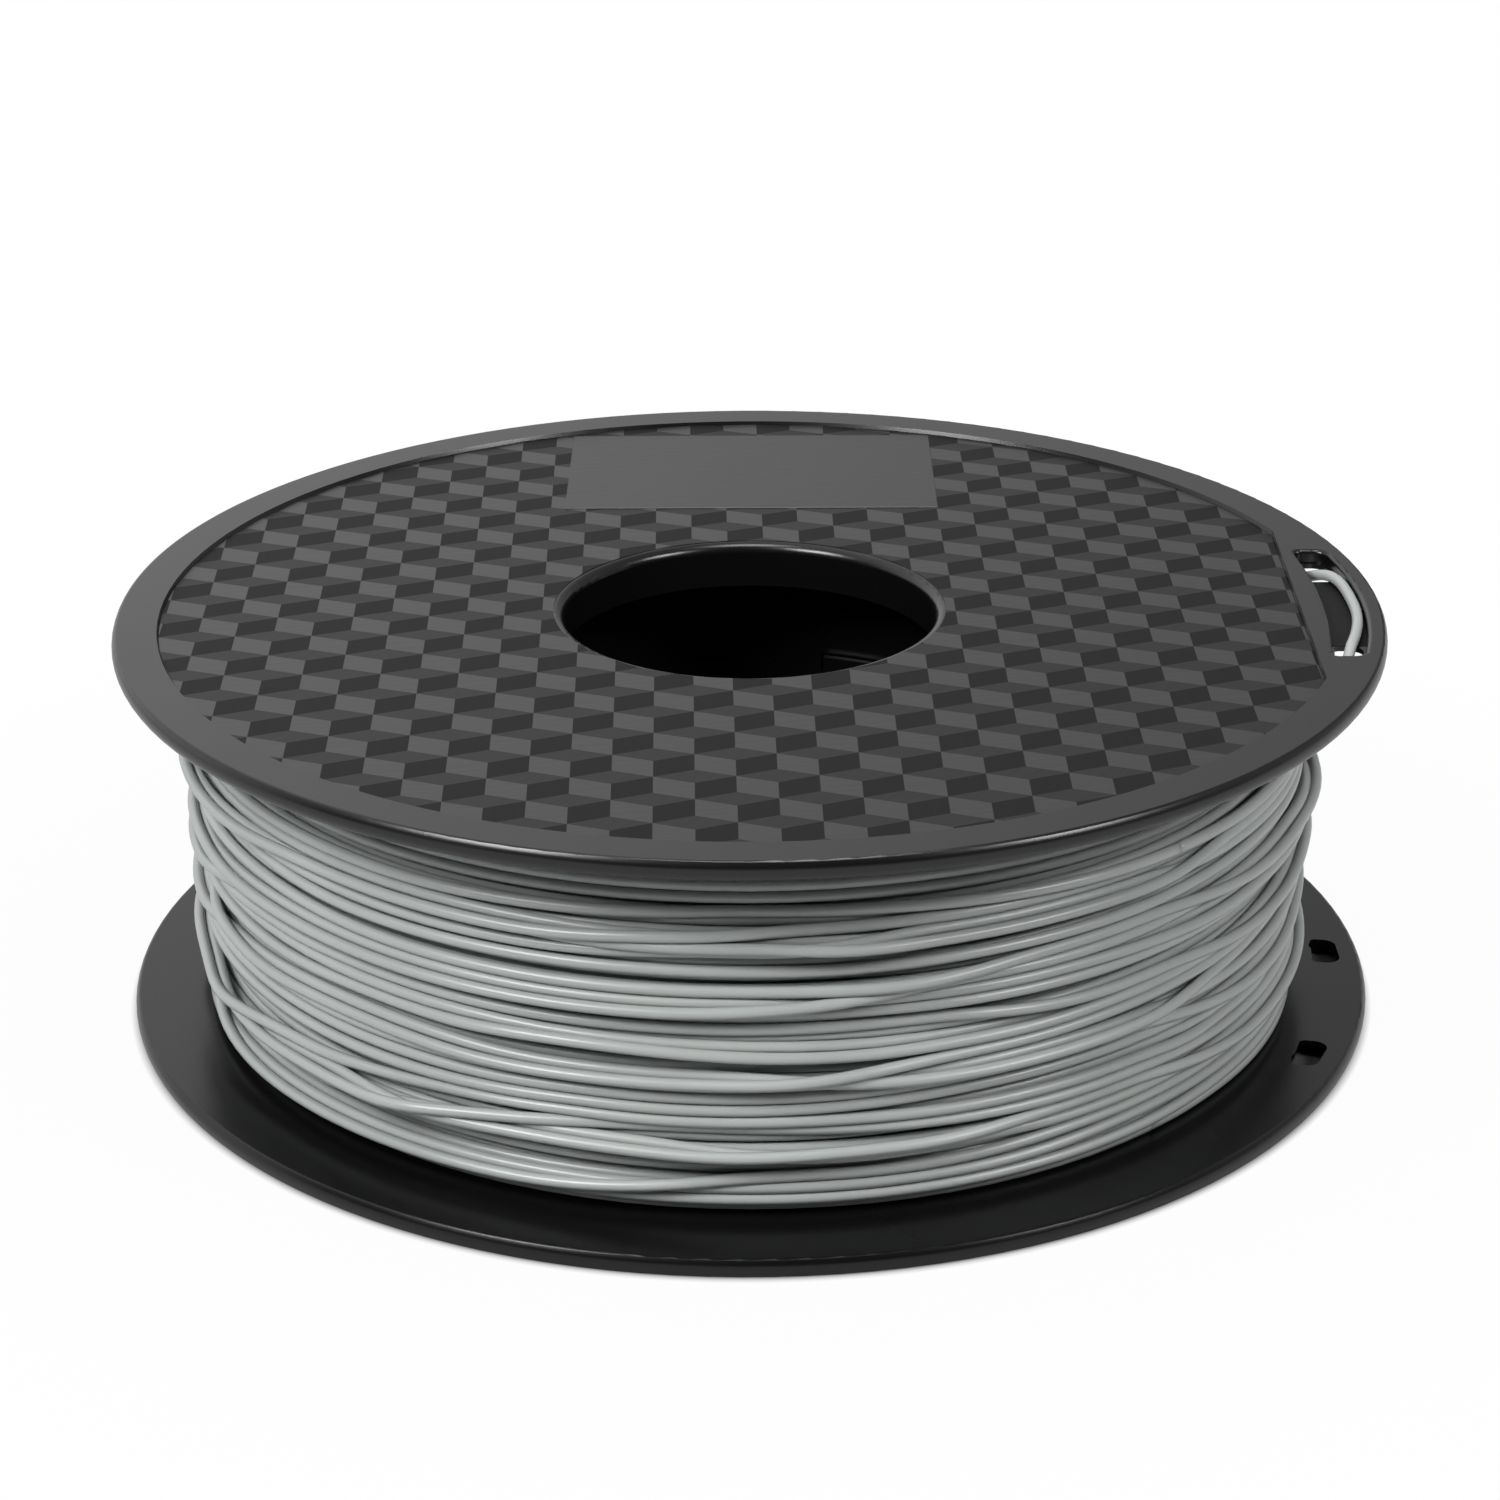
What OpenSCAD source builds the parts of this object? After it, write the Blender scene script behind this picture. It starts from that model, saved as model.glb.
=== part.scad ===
// Filament spool, wound full. Two identical moulded halves snap together at the middle of the
// drum. The free end of the filament is laced through the slot of the upper flange.
// The spool stands on its lower flange. The origin is the centre of that face, and +Z runs
// along the bore. All sizes are in millimetres.

/* [Flanges] */
// Outer diameter of both flanges
flange_d = 200; // [180:1:220]
// Width of the whole spool, from face to face
spool_w = 64.6; // [50:0.1:80]
// Thickness of one flange
flange_t = 3; // [2.8:0.1:4]
// How far the rounded rim bulges past its two edges
rim_crown = 0.6; // [0.3:0.1:1]
// Rounding of the rim's two edges
rim_edge_r = 0.5; // [0.3:0.1:0.8]

/* [Face panel] */
// Width of the flat ring round the sunk panel in each outer face
ring_w = 7; // [5:0.1:12]
// Depth of the panel below the face
panel_depth = 0.7; // [0.3:0.1:0.9]
// Land between the panel's straight edge and the slot
slot_land = 3.85; // [2:0.05:20]
// Width of the slope round the panel
panel_slope = 0.3; // [0.1:0.1:1]

/* [Bore and drum] */
// Diameter of the bore for the spindle
bore_d = 59; // [50:0.5:70]
// Radius of the rounding where the panel turns into the bore
lip_r = 1.5; // [0.5:0.1:1.6]
// Wall of the collar round the bore
collar_t = 2; // [1.7:0.1:4]
// Length of the collar, from the outer face inwards
collar_len = 8; // [5:0.5:15]
// Outer diameter of the drum that carries the filament
drum_d = 98; // [90:1:120]
// Wall of the drum
drum_t = 2; // [1.8:0.1:3]
// Rounding between the drum and the inside of its flange
drum_root_r = 2; // [0.5:0.1:3]

/* [Snap joint] */
// Number of snap tongues on each half
tongue_count = 4; // [3:1:6]
// Angle that one tongue spans
tongue_span = 24; // [10:1:26]
// How far a tongue stands past the joint
tongue_h = 6; // [5:0.5:9]
// Thickness of a tongue
tongue_t = 1.6; // [1.2:0.1:2.5]
// Length of the tongue's root on its own drum wall
tongue_root = 5; // [3:0.5:8]
// How far the barb stands out of the tongue
barb = 0.5; // [0.3:0.1:0.8]
// Clearance between a tongue and the wall that it slides behind
snap_gap = 0.15; // [0.1:0.05:0.3]
// Turn of the lower half against the upper one, in degrees
lower_turn = -11.2; // [-40:0.1:40]

/* [Filament slot] */
// Wall between the slot and the rim
slot_rim = 3.1; // [2.5:0.1:5]
// Width of the slot at its middle
slot_w = 6.15; // [5.6:0.05:6.5]
// Radius of the slot's inner wall, which is flatter than the rim
slot_arc_r = 165; // [120:1:200]
// Length of the slot from end to end
slot_len = 47; // [35:0.1:60]
// Depth of the slot below the face
slot_depth = 2.2; // [1.9:0.05:2.3]
// Length of each eye, which goes through the flange at an end of the slot
eye_len = 8.6; // [7:0.1:11]
// Step between the walls of the slot and those of its eyes
eye_step = 0.5; // [0.3:0.1:0.8]
// Rounding of the slot's outer corners
outer_corner_r = 2.2; // [1:0.1:2.6]
// Rounding of the slot's inner corners
inner_corner_r = 1; // [0.5:0.1:1.4]
// Rounding of the slot's edge at the face
mouth_r = 0.7; // [0.3:0.1:1]

/* [Filament] */
// Diameter of the filament
filament_d = 1.75; // [1.6:0.05:1.85]
// Distance from the rim in to the wound filament
wound_inset = 12; // [10:0.1:30]
// Distance from one turn of the outer layer to the next
turn_pitch = 2; // [1.9:0.05:2.5]
// How unevenly the turns lie, from the highest to the lowest
unevenness = 0.5; // [0:0.1:0.7]
// Height below the upper flange at which the free end leaves the winding
leave_drop = 11.2; // [8:0.1:30]
// Clearance between the filament and the spool
wind_gap = 0.1; // [0.05:0.05:0.15]

/* [Hidden] */
$fn = 96;
eps = 0.01;

flange_r = flange_d / 2;
half_w = spool_w / 2;
drum_r = drum_d / 2;
drum_in_r = drum_r - drum_t;
bore_r = bore_d / 2;
panel_r = flange_r - ring_w;
slot_out_r = flange_r - slot_rim;
slot_mid_r = slot_out_r - slot_w / 2;
slot_in_x = slot_out_r - slot_w;
chord_x = slot_in_x - slot_land;

// The slot's inner wall is an arc round a point on the X axis
inner_arc_x = slot_in_x - slot_arc_r;

// The slot's rounded corners reach this far past its walls, so that they cross the walls'
// surfaces at an angle
corner_past = 0.03;

// The rim's arc has its highest point halfway up the flange, and an edge rounding meets it
// at each side
rim_arc_r = (pow(flange_t / 2, 2) + pow(rim_crown, 2)) / (2 * rim_crown);
rim_mid_r = flange_r - rim_arc_r;
rim_edge_x = rim_mid_r
    + sqrt(pow(rim_arc_r - rim_edge_r, 2) - pow(flange_t / 2 - rim_edge_r, 2));
rim_meet_z = flange_t / 2
    - (flange_t / 2 - rim_edge_r) * rim_arc_r / (rim_arc_r - rim_edge_r);

// Tongues of one half stand midway between those of the other
tongue_turn = -(lower_turn + 180 / tongue_count) / 2;
tongue_out_r = drum_in_r - snap_gap;
tongue_in_r = tongue_out_r - tongue_t;
barb_z = tongue_h / 2;
groove_side = 1;

// The winding fills the width between the flanges. Its last layer ends where the free end
// leaves, so the turns above that lie one layer lower.
wound_r = flange_r - wound_inset;
wind_z0 = flange_t + wind_gap;
wind_w = spool_w - 2 * wind_z0;
turns = floor(wind_w / turn_pitch);
strand_r = wound_r - filament_d / 2;
layer_step = sqrt(pow(filament_d, 2) - pow(turn_pitch / 2, 2));
golden_angle = 137.5;
under_z = spool_w - flange_t;
last_layer_z = under_z - leave_drop + filament_d / 2;

// Heights y at which an eye starts and ends, and the angles of both
eye_end = slot_len / 2 - eye_step;
eye_start = eye_end - eye_len;
end_a = asin(eye_end / slot_mid_r);
bridge_a = asin(eye_start / slot_mid_r);

// Where the free end lies: on the winding, in the slot, and against the slot's outer wall
tail_lay_r = wound_r + filament_d / 2 + wind_gap;
tail_slot_z = spool_w - slot_depth + filament_d / 2 + wind_gap;
tail_rub_r = slot_out_r - filament_d / 2 - 1.5 * wind_gap;
tail_sides = 8;

// ---- Sections of one half; its outer face lies at z = 0 and its drum rises from it ----

module flange_section() {
    square([rim_edge_x, flange_t]);
    for (z = [rim_edge_r, flange_t - rim_edge_r])
        translate([rim_edge_x, z]) circle(rim_edge_r, $fn = 48);
    intersection() {
        translate([rim_mid_r, flange_t / 2]) circle(rim_arc_r);
        translate([rim_mid_r - rim_arc_r, rim_meet_z])
            square([2 * rim_arc_r, flange_t - 2 * rim_meet_z]);
    }
}

// Corner between a wall at x = 0 and one at y = 0, less a circle that touches both
module fillet_section(r) {
    difference() {
        translate([-eps, -eps]) square(r + eps);
        translate([r, r]) circle(r, $fn = 48);
    }
}

module drum_section() {
    translate([drum_in_r, 0]) square([drum_t, half_w]);
    translate([drum_r, flange_t]) fillet_section(drum_root_r);
}

module bore_section() {
    // Straight bore, and the rounding that the panel's floor runs into
    square([bore_r, 2 * collar_len]);
    translate([0, -eps]) difference() {
        square([bore_r + lip_r, panel_depth + lip_r + eps]);
        translate([bore_r + lip_r, panel_depth + lip_r + eps]) circle(lip_r, $fn = 48);
    }
}

module body() {
    rotate_extrude() difference() {
        union() {
            flange_section();
            drum_section();
            square([bore_r + collar_t, collar_len]);
        }
        bore_section();
    }
}

module panel_cut() {
    intersection() {
        translate([0, 0, -eps])
            cylinder(h = panel_depth + eps, r1 = panel_r, r2 = panel_r - panel_slope);
        rotate([90, 0, 0]) linear_extrude(height = 2 * flange_r, center = true) polygon([
            [-flange_r, -eps], [chord_x, -eps],
            [chord_x - panel_slope, panel_depth], [-flange_r, panel_depth]
        ]);
    }
}

function unit(v) = v / norm(v);

// Point at height y on the circle of radius r round [x, 0]
function on_circle(x, r, y) = [x + sqrt(r * r - y * y), y];

// Centres of the rounded corners at height y, for walls stepped in from those of the slot
function outer_centre(step, y) = on_circle(0, slot_out_r - step - outer_corner_r, y);
function inner_centre(step, y) =
    on_circle(inner_arc_x, slot_arc_r + step + inner_corner_r, y);

// Outline of the slot between two heights y, with walls stepped in from those of the slot
module slot_outline(step, y0, y1) {
    out_r = slot_out_r - step;
    in_r = slot_arc_r + step;
    outer = [outer_centre(step, y0 + outer_corner_r), outer_centre(step, y1 - outer_corner_r)];
    inner = [inner_centre(step, y0 + inner_corner_r), inner_centre(step, y1 - inner_corner_r)];
    // The polygon reaches this many times past both arcs, so that they alone bound the sides
    past = 1.1;
    function beside(centre, x, r) = [x, 0] + r * unit(centre - [x, 0]);
    intersection() {
        difference() {
            circle(out_r, $fn = 360);
            translate([inner_arc_x, 0]) circle(in_r, $fn = 360);
        }
        polygon([
            beside(inner[0], inner_arc_x, in_r / past), inner[0], outer[0],
            beside(outer[0], 0, past * out_r), beside(outer[1], 0, past * out_r),
            outer[1], inner[1], beside(inner[1], inner_arc_x, in_r / past)
        ]);
    }
    for (end = [[0, y0], [1, y1]]) {
        polygon([
            inner[end[0]], outer[end[0]], [outer[end[0]][0], end[1]], [inner[end[0]][0], end[1]]
        ]);
        translate(outer[end[0]]) circle(outer_corner_r + corner_past, $fn = 48);
        translate(inner[end[0]]) circle(inner_corner_r + corner_past, $fn = 48);
    }
}

// Rounds the slot's edge at the face, along its walls, its ends and its corners
module slot_mouth() {
    outer = outer_centre(0, slot_len / 2 - outer_corner_r);
    inner = inner_centre(0, slot_len / 2 - inner_corner_r);
    outer_a = atan2(outer[1], outer[0]);
    inner_a = atan2(inner[1], inner[0] - inner_arc_x);
    rotate([0, 0, -outer_a]) rotate_extrude(angle = 2 * outer_a, $fn = 360)
        translate([slot_out_r, 0]) fillet_section(mouth_r);
    translate([inner_arc_x, 0, 0]) rotate([0, 0, -inner_a])
        rotate_extrude(angle = 2 * inner_a, $fn = 360)
            translate([slot_arc_r, 0]) mirror([1, 0]) fillet_section(mouth_r);
    for (side = [0, 1]) mirror([0, side, 0]) {
        translate([inner[0], slot_len / 2, 0]) rotate([90, 0, 90])
            linear_extrude(height = outer[0] - inner[0]) fillet_section(mouth_r);
        for (corner = [[outer, outer_corner_r], [inner, inner_corner_r]])
            translate(corner[0]) rotate_extrude() {
                square([corner[1] + corner_past, mouth_r]);
                translate([corner[1] + corner_past, 0]) fillet_section(mouth_r);
            }
    }
}

module slot_cut() {
    slot_mouth();
    translate([0, 0, -1]) linear_extrude(height = slot_depth + 1)
        slot_outline(0, -slot_len / 2, slot_len / 2);
    for (side = [0, 1]) mirror([0, side, 0])
        translate([0, 0, -1]) linear_extrude(height = flange_t + 2)
            slot_outline(eye_step, eye_start, eye_end);
}

module tongue() {
    rotate([0, 0, -tongue_span / 2]) rotate_extrude(angle = tongue_span) polygon([
        [tongue_in_r, half_w - tongue_root],
        [drum_in_r + drum_t / 2, half_w - tongue_root - tongue_t],
        [drum_in_r + drum_t / 2, half_w],
        [tongue_out_r, half_w],
        [tongue_out_r, half_w + barb_z],
        [tongue_out_r + barb, half_w + barb_z],
        [tongue_out_r, half_w + tongue_h - barb],
        [tongue_out_r - barb, half_w + tongue_h],
        [tongue_in_r, half_w + tongue_h]
    ]);
}

module barb_groove() {
    // Takes the barb of the other half's tongue
    groove_span = tongue_span + 2 * groove_side;
    rotate([0, 0, -groove_span / 2]) rotate_extrude(angle = groove_span)
        translate([drum_in_r - 1, half_w - tongue_h])
            square([1 + barb + snap_gap, tongue_h - barb_z + snap_gap]);
}

module half() {
    difference() {
        body();
        panel_cut();
        slot_cut();
        for (i = [0 : tongue_count - 1])
            rotate([0, 0, tongue_turn + (i + 0.5) * 360 / tongue_count]) barb_groove();
    }
    for (i = [0 : tongue_count - 1])
        rotate([0, 0, tongue_turn + i * 360 / tongue_count]) tongue();
}

// ---- The filament ----

function turn_z(i) = wind_z0 + (i + 0.5) * wind_w / turns;

// How far a turn lies below the highest one
function lay_depth(i) = unevenness * (1 + sin(i * golden_angle)) / 2
    + (turn_z(i) > last_layer_z ? layer_step : 0);

module winding_section() {
    full_r = strand_r - unevenness;
    translate([drum_r + wind_gap, wind_z0 + drum_root_r])
        square([full_r - layer_step - drum_r - wind_gap, wind_w - 2 * drum_root_r]);
    translate([drum_r + drum_root_r + wind_gap, wind_z0])
        square([full_r - layer_step - drum_r - drum_root_r - wind_gap, wind_w]);
    translate([drum_r + drum_root_r + wind_gap, wind_z0])
        square([full_r - drum_r - drum_root_r - wind_gap, last_layer_z - wind_z0]);
    for (i = [0 : turns - 1])
        translate([strand_r - lay_depth(i), turn_z(i)]) circle(d = filament_d, $fn = 32);
}

// Point at an angle round the axis, a radius and a height
function at(angle, radius, z) = [radius * cos(angle), radius * sin(angle), z];

// Radius on the way from the winding, at 0, to the slot's middle line, at 1
function out(share) = tail_lay_r + share * (slot_mid_r - tail_lay_r);

// Height on the way from the flange's inner face, at 0, down to where the end leaves, at 1
function down(share) = under_z - share * leave_drop;

// Angle within an eye, from where it starts, at 0, to where it ends, at 1
function eye(share) = bridge_a + share * (end_a - bridge_a);

// From the winding, up through the near eye, along the slot, and down through the far eye
TAIL = [
    at(-end_a - 32, out(0), down(1)), at(-end_a - 27, out(0), down(1)),
    at(-end_a - 22, out(0.01), down(0.99)), at(-end_a - 18, out(0.06), down(0.94)),
    at(-end_a - 14, out(0.2), down(0.81)), at(-end_a - 10, out(0.4), down(0.63)),
    at(-end_a - 6, out(0.65), down(0.44)), at(-end_a - 2.5, out(0.87), down(0.25)),
    at(-eye(0.87), out(1.02), down(0.08)), at(-eye(0.45), out(1.07), tail_slot_z - 1.1),
    at(-eye(0.2), out(1.12), tail_slot_z - 0.25),
    at(-0.95 * bridge_a, tail_rub_r - 1.1, tail_slot_z),
    at(-0.75 * bridge_a, tail_rub_r - 0.75, tail_slot_z),
    at(-0.5 * bridge_a, tail_rub_r - 0.35, tail_slot_z),
    at(-0.25 * bridge_a, tail_rub_r - 0.1, tail_slot_z),
    at(0, tail_rub_r, tail_slot_z), at(0.25 * bridge_a, tail_rub_r, tail_slot_z),
    at(0.5 * bridge_a, tail_rub_r, tail_slot_z),
    at(0.73 * bridge_a, tail_rub_r - 0.05, tail_slot_z),
    at(0.89 * bridge_a, tail_rub_r - 0.35, tail_slot_z),
    at(bridge_a, tail_rub_r - 0.9, tail_slot_z), at(eye(0.22), out(1.08), tail_slot_z - 0.45),
    at(eye(0.43), out(0.95), tail_slot_z - 1.2), at(eye(0.64), out(0.87), tail_slot_z - 2),
    at(eye(0.85), out(0.81), tail_slot_z - 2.8), at(eye(1.04), out(0.74), tail_slot_z - 3.6)
];

// Direction of the route at point i
function along(route, i) =
    unit(route[min(i + 1, len(route) - 1)] - route[max(i - 1, 0)]);

// A tube of diameter d that follows the route
module tube(route, d) {
    n = len(route);
    rings = [for (i = [0 : n - 1])
        let (t = along(route, i), side = unit(cross(t, [0, 0, 1])), up = cross(side, t))
            for (k = [0 : tail_sides - 1])
                let (a = 360 * k / tail_sides)
                    route[i] + d / 2 * (cos(a) * side + sin(a) * up)
    ];
    walls = [for (i = [0 : n - 2], k = [0 : tail_sides - 1])
        let (j = (k + 1) % tail_sides, a = i * tail_sides, b = a + tail_sides)
            [a + k, a + j, b + j, b + k]
    ];
    ends = [
        [for (k = [tail_sides - 1 : -1 : 0]) k],
        [for (k = [0 : tail_sides - 1]) (n - 1) * tail_sides + k]
    ];
    polyhedron(points = rings, faces = concat(walls, ends));
}

// ---- The pieces ----

module upper_half() {
    color("#3c3c3e") translate([0, 0, spool_w]) rotate([180, 0, 0]) half();
}

module lower_half() {
    color("#343436") rotate([0, 0, lower_turn]) half();
}

module filament_winding() {
    color("#aeb2af") rotate_extrude() winding_section();
}

module filament_tail() {
    color("#b9bdba") tube(TAIL, filament_d);
}

upper_half();
lower_half();
filament_winding();
filament_tail();
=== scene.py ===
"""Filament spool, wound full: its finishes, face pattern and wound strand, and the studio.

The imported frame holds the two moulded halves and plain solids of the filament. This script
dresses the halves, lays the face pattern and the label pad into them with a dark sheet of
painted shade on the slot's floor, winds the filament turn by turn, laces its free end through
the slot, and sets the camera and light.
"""
import logging
import math
import random
from dataclasses import dataclass, field
from enum import Enum
from typing import Any, Sequence

import bmesh
import bpy
import numpy as np
from mathutils import Matrix, Vector


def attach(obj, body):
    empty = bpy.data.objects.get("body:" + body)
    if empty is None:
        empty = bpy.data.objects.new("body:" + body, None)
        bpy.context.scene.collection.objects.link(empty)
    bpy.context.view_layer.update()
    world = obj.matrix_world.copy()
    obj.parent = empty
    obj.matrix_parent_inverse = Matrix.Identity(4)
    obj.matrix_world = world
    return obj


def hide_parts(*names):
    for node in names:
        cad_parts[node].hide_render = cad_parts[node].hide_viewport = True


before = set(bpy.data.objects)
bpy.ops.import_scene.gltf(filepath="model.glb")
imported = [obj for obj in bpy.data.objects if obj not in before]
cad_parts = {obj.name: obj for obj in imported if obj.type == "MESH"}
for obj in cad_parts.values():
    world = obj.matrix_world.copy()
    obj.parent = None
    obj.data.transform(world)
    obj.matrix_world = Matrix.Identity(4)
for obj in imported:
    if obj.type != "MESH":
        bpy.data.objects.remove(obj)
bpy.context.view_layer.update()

log = logging.getLogger("spool")

MM = 0.001
IMAGE_PX = 1500
SENSOR_MM = 36.0

Colour = tuple[float, float, float, float]
Point = tuple[float, float, float]


def linear(hex_colour: str) -> Colour:
    """Turns an sRGB hex colour into the linear colour that a shader takes.

    Args:
        hex_colour: Six hex digits after a hash, such as "#a0a5a2".

    Returns:
        Red, green, blue and an alpha of 1.
    """
    channels = []
    for start in (1, 3, 5):
        value = int(hex_colour[start:start + 2], 16) / 255
        channels.append(value / 12.92 if value <= 0.04045 else ((value + 0.055) / 1.055) ** 2.4)
    return channels[0], channels[1], channels[2], 1.0


def add_node(tree: bpy.types.NodeTree, kind: str, settings: dict[str | int, Any] | None = None,
             links: dict[str | int, bpy.types.NodeSocket] | None = None) -> bpy.types.Node:
    """Adds one node with its settings and its incoming links.

    Args:
        tree: The node tree that gets the node.
        kind: The node's type, such as "ShaderNodeTexNoise".
        settings: Values by the name or number of an input, or by the name of a property.
        links: Outputs of other nodes, by the name or number of the input that each feeds.

    Returns:
        The new node.
    """
    node = tree.nodes.new(kind)
    for name, value in (settings or {}).items():
        if isinstance(name, int) or name in node.inputs:
            node.inputs[name].default_value = value
        else:
            setattr(node, name, value)
    for name, socket in (links or {}).items():
        tree.links.new(socket, node.inputs[name])
    return node


def new_material(name: str) -> tuple[bpy.types.Material, bpy.types.NodeTree, bpy.types.Node]:
    """Starts a material with an empty node tree and its output.

    Args:
        name: The material's name.

    Returns:
        The material, its node tree and its output node.
    """
    material = bpy.data.materials.new(name)
    material.use_nodes = True
    material.node_tree.nodes.clear()
    return material, material.node_tree, add_node(material.node_tree, "ShaderNodeOutputMaterial")


@dataclass(frozen=True)
class MouldedPlastic:
    """High-impact polystyrene, moulded black in a fine spark-eroded tool.

    The eye gets a satin black that turns grey where it mirrors a bright room at a flat angle,
    with a fine grain and faint flow clouds. The real grain is about a tenth of a millimetre,
    and grain_mm is coarser so that it shows.
    """

    name: str
    colour: str
    cloud_colour: str
    roughness: float
    specular: float
    grain_mm: float
    grain_depth_mm: float
    cloud_mm: float = 35.0
    polish_spread: float = 0.04
    ior: float = 1.5

    def material(self) -> bpy.types.Material:
        """Builds the material's nodes.

        Returns:
            The finished material.
        """
        material, tree, output = new_material(self.name)
        place = add_node(tree, "ShaderNodeTexCoord").outputs["Object"]
        clouds = add_node(tree, "ShaderNodeTexNoise",
                          {"Scale": 1 / (self.cloud_mm * MM), "Detail": 3.0}, {"Vector": place})
        colour = add_node(tree, "ShaderNodeMix",
                          {"data_type": "RGBA", 6: linear(self.colour), 7: linear(self.cloud_colour)},
                          {"Factor": clouds.outputs["Fac"]})
        grain = add_node(tree, "ShaderNodeTexNoise",
                         {"Scale": 1 / (self.grain_mm * MM), "Detail": 2.0}, {"Vector": place})
        rough = add_node(tree, "ShaderNodeMapRange",
                         {"To Min": self.roughness - self.polish_spread,
                          "To Max": self.roughness + self.polish_spread},
                         {"Value": clouds.outputs["Fac"]})
        bump = add_node(tree, "ShaderNodeBump",
                        {"Strength": 1.0, "Distance": self.grain_depth_mm * MM},
                        {"Height": grain.outputs["Fac"]})
        shader = add_node(tree, "ShaderNodeBsdfPrincipled",
                          {"IOR": self.ior, "Specular IOR Level": self.specular},
                          {"Base Color": colour.outputs[2], "Roughness": rough.outputs["Result"],
                           "Normal": bump.outputs["Normal"]})
        tree.links.new(shader.outputs["BSDF"], output.inputs["Surface"])
        return material


@dataclass(frozen=True)
class EtchedTile:
    """One direction of the etched face pattern, in the same black polystyrene.

    The tool is etched with fine parallel strokes whose direction differs from tile to tile.
    The eye gets three tones of one black, each with soft streaks along its strokes. The tones and
    the streaks are partly painted sheen: each tile's colour, streak colour and specular level stand
    in for how its stroke direction reflects the light, while the strokes' bump and roughness are
    real. The real strokes are a few tenths of a millimetre wide, and stroke_mm is coarser so that
    they show.
    """

    name: str
    colour: str
    streak_sheen_colour: str
    roughness: float
    specular: float
    stroke_angle_deg: float
    stroke_mm: float = 1.1
    stroke_length_mm: float = 9.0
    stroke_depth_mm: float = 0.03
    ior: float = 1.5

    def material(self) -> bpy.types.Material:
        """Builds the material's nodes.

        Returns:
            The finished material.
        """
        material, tree, output = new_material(self.name)
        place = add_node(tree, "ShaderNodeTexCoord").outputs["Object"]
        turned = add_node(tree, "ShaderNodeMapping",
                          {"Rotation": (0.0, 0.0, -math.radians(self.stroke_angle_deg))},
                          {"Vector": place})
        strokes_per_m = (1 / (self.stroke_length_mm * MM), 1 / (self.stroke_mm * MM), 1.0)
        squeezed = add_node(tree, "ShaderNodeMapping", {"Scale": strokes_per_m},
                            {"Vector": turned.outputs["Vector"]})
        strokes = add_node(tree, "ShaderNodeTexNoise", {"Scale": 1.0, "Detail": 3.0},
                           {"Vector": squeezed.outputs["Vector"]})
        # Painted sheen: the streak colour is lighter than the tile's and stands in for light caught along
        # the strokes.
        colour = add_node(tree, "ShaderNodeMix",
                          {"data_type": "RGBA", 6: linear(self.colour), 7: linear(self.streak_sheen_colour)},
                          {"Factor": strokes.outputs["Fac"]})
        bump = add_node(tree, "ShaderNodeBump",
                        {"Strength": 1.0, "Distance": self.stroke_depth_mm * MM},
                        {"Height": strokes.outputs["Fac"]})
        shader = add_node(tree, "ShaderNodeBsdfPrincipled",
                          {"IOR": self.ior, "Specular IOR Level": self.specular,
                           "Roughness": self.roughness},
                          {"Base Color": colour.outputs[2], "Normal": bump.outputs["Normal"]})
        tree.links.new(shader.outputs["BSDF"], output.inputs["Surface"])
        return material


@dataclass(frozen=True)
class ExtrudedFilament:
    """PLA, extruded to a round strand and cooled in water.

    The eye gets a light grey with a breath of green and a silky sheen along each turn.
    """

    name: str = "extruded_pla"
    colour: str = "#a5a9a7"
    deep_colour: str = "#979b99"
    roughness: float = 0.3
    specular: float = 0.5
    ior: float = 1.46
    cloud_mm: float = 14.0
    ripple_mm: float = 2.5
    ripple_depth_mm: float = 0.02

    def material(self) -> bpy.types.Material:
        """Builds the material's nodes.

        Returns:
            The finished material.
        """
        material, tree, output = new_material(self.name)
        place = add_node(tree, "ShaderNodeTexCoord").outputs["Object"]
        clouds = add_node(tree, "ShaderNodeTexNoise",
                          {"Scale": 1 / (self.cloud_mm * MM), "Detail": 2.0}, {"Vector": place})
        colour = add_node(tree, "ShaderNodeMix",
                          {"data_type": "RGBA", 6: linear(self.deep_colour), 7: linear(self.colour)},
                          {"Factor": clouds.outputs["Fac"]})
        ripple = add_node(tree, "ShaderNodeTexNoise",
                          {"Scale": 1 / (self.ripple_mm * MM), "Detail": 1.0}, {"Vector": place})
        bump = add_node(tree, "ShaderNodeBump",
                        {"Strength": 1.0, "Distance": self.ripple_depth_mm * MM},
                        {"Height": ripple.outputs["Fac"]})
        shader = add_node(tree, "ShaderNodeBsdfPrincipled",
                          {"IOR": self.ior, "Specular IOR Level": self.specular,
                           "Roughness": self.roughness},
                          {"Base Color": colour.outputs[2], "Normal": bump.outputs["Normal"]})
        tree.links.new(shader.outputs["BSDF"], output.inputs["Surface"])
        return material


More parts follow.
